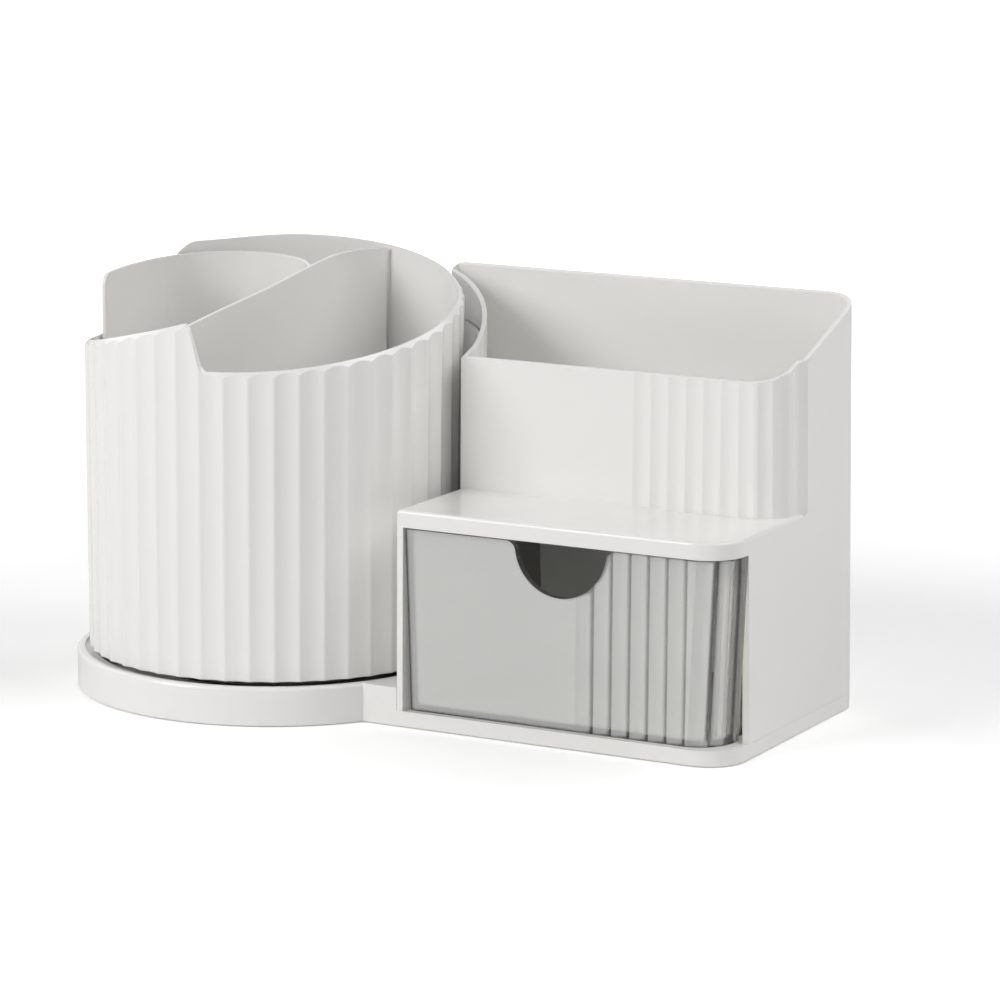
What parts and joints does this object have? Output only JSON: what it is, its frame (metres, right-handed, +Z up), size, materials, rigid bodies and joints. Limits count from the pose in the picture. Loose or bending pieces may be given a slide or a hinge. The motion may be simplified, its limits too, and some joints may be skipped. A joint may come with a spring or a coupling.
{
  "type": "rotating makeup organiser",
  "caption": "Desktop makeup organiser: a fluted cup with dividers turns on a round dish beside a cabinet with a clear drawer, a shelf and an open upper bin.",
  "frame": {"origin": "centre of the footprint, on the surface that the feet stand on", "axes": "+X from the drum towards the cabinet along the front, +Y to the back, +Z up; the front with the drawer faces -Y"},
  "size_m": [0.2522, 0.1332, 0.1436],
  "materials": {
    "white_body": "white moulded plastic, satin",
    "clear_drawer": "clear plastic with a light smoky tint, polished",
    "bearing_plastic": "natural acetal, smooth",
    "ball_steel": "polished steel balls",
    "steel": "zinc-plated steel",
    "rubber": "grey translucent rubber, matt"
  },
  "bodies": {
    "housing": {"base": "white_body", "cabinet": "white_body", "lower_race": "bearing_plastic", "lower_race_screw_1": "steel", "lower_race_screw_2": "steel", "lower_race_screw_3": "steel", "cabinet_screw_1": "steel", "cabinet_screw_2": "steel", "cabinet_screw_3": "steel", "foot_1": "rubber", "foot_2": "rubber", "foot_3": "rubber", "foot_4": "rubber", "foot_5": "rubber", "foot_6": "rubber", "drawer_bumper_left": "rubber", "drawer_bumper_right": "rubber"},
    "drum": {"drum_shell": "white_body", "divider_insert": "white_body", "upper_race": "bearing_plastic", "upper_race_screw_1": "steel", "upper_race_screw_2": "steel", "upper_race_screw_3": "steel", "spindle_screw": "steel", "spindle_washer": "steel"},
    "ball_ring": {"ball_cage": "bearing_plastic", "bearing_balls": "ball_steel"},
    "drawer": {"drawer_tray": "clear_drawer"}
  },
  "joints": [
    {"name": "drum_spin", "type": "hinge", "parent": "housing", "child": "drum", "pos_m": [-0.05955, 0, 0], "axis": [0, 0, 1], "continuous": true},
    {"name": "ball_ring_spin", "type": "hinge", "parent": "housing", "child": "ball_ring", "pos_m": [-0.05955, 0, 0], "axis": [0, 0, 1], "continuous": true},
    {"name": "drawer_slide", "type": "slide", "parent": "housing", "child": "drawer", "axis": [0, -1, 0], "range_m": [0, 0.075]}
  ],
  "couplings": [
    {"joint": "ball_ring_spin", "follows": "drum_spin", "ratio": 0.5}
  ]
}
